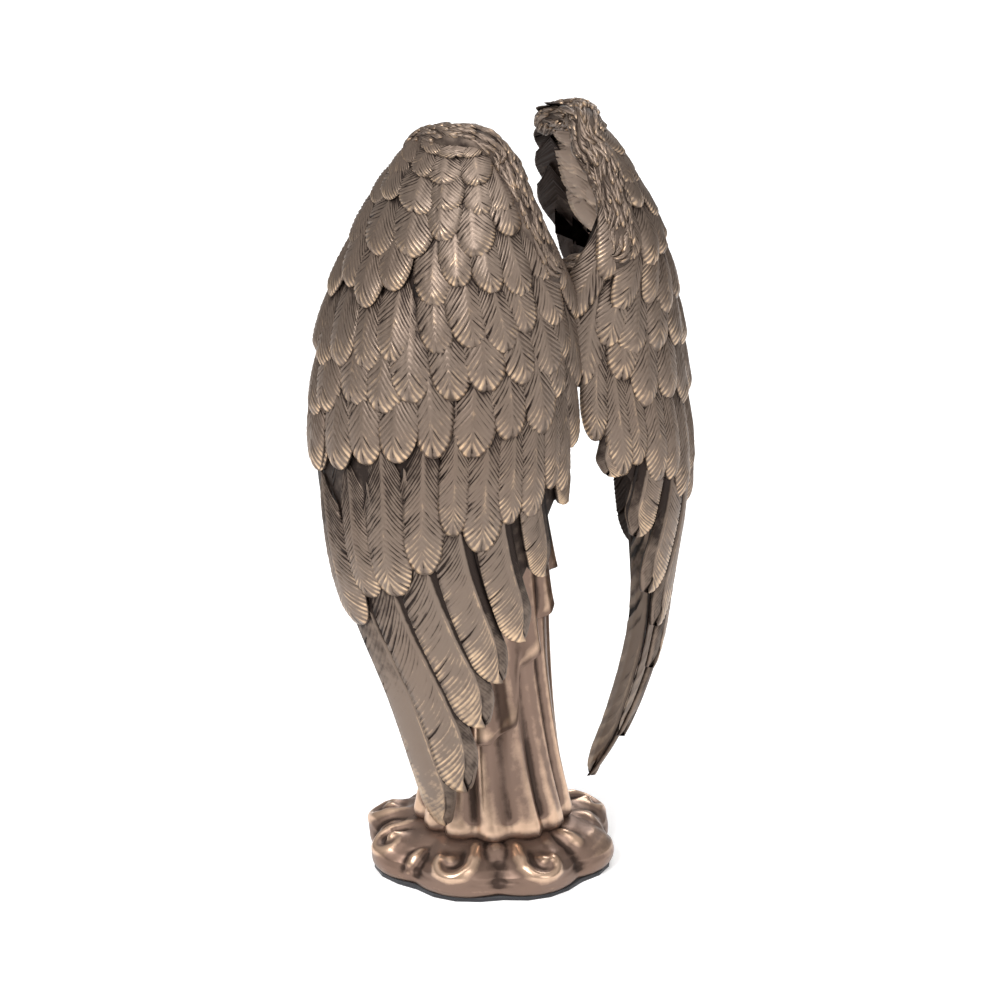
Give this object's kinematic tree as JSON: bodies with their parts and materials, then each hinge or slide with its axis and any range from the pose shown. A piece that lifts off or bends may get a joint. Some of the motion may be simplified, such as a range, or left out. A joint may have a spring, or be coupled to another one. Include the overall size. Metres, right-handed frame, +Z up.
{
  "type": "angel statue",
  "caption": "Small cast angel figurine: a robed figure in prayer between tall folded feathered wings, on a round cloud base with scrolls and a felt pad.",
  "frame": {"origin": "middle of the felt pad's underside, on the surface that the statue stands on", "axes": "+Z up, the figure faces -Y, its left wing is on +X"},
  "size_m": [0.1392, 0.1012, 0.2698],
  "materials": {
    "bronze_casting": "cold-cast bronze resin, dark antique patina rubbed back to bright bronze on the raised edges",
    "felt": "thin dark felt glued under the base"
  },
  "bodies": {
    "root": {"angel_statue": "bronze_casting", "base_pad": "felt"}
  },
  "joints": []
}
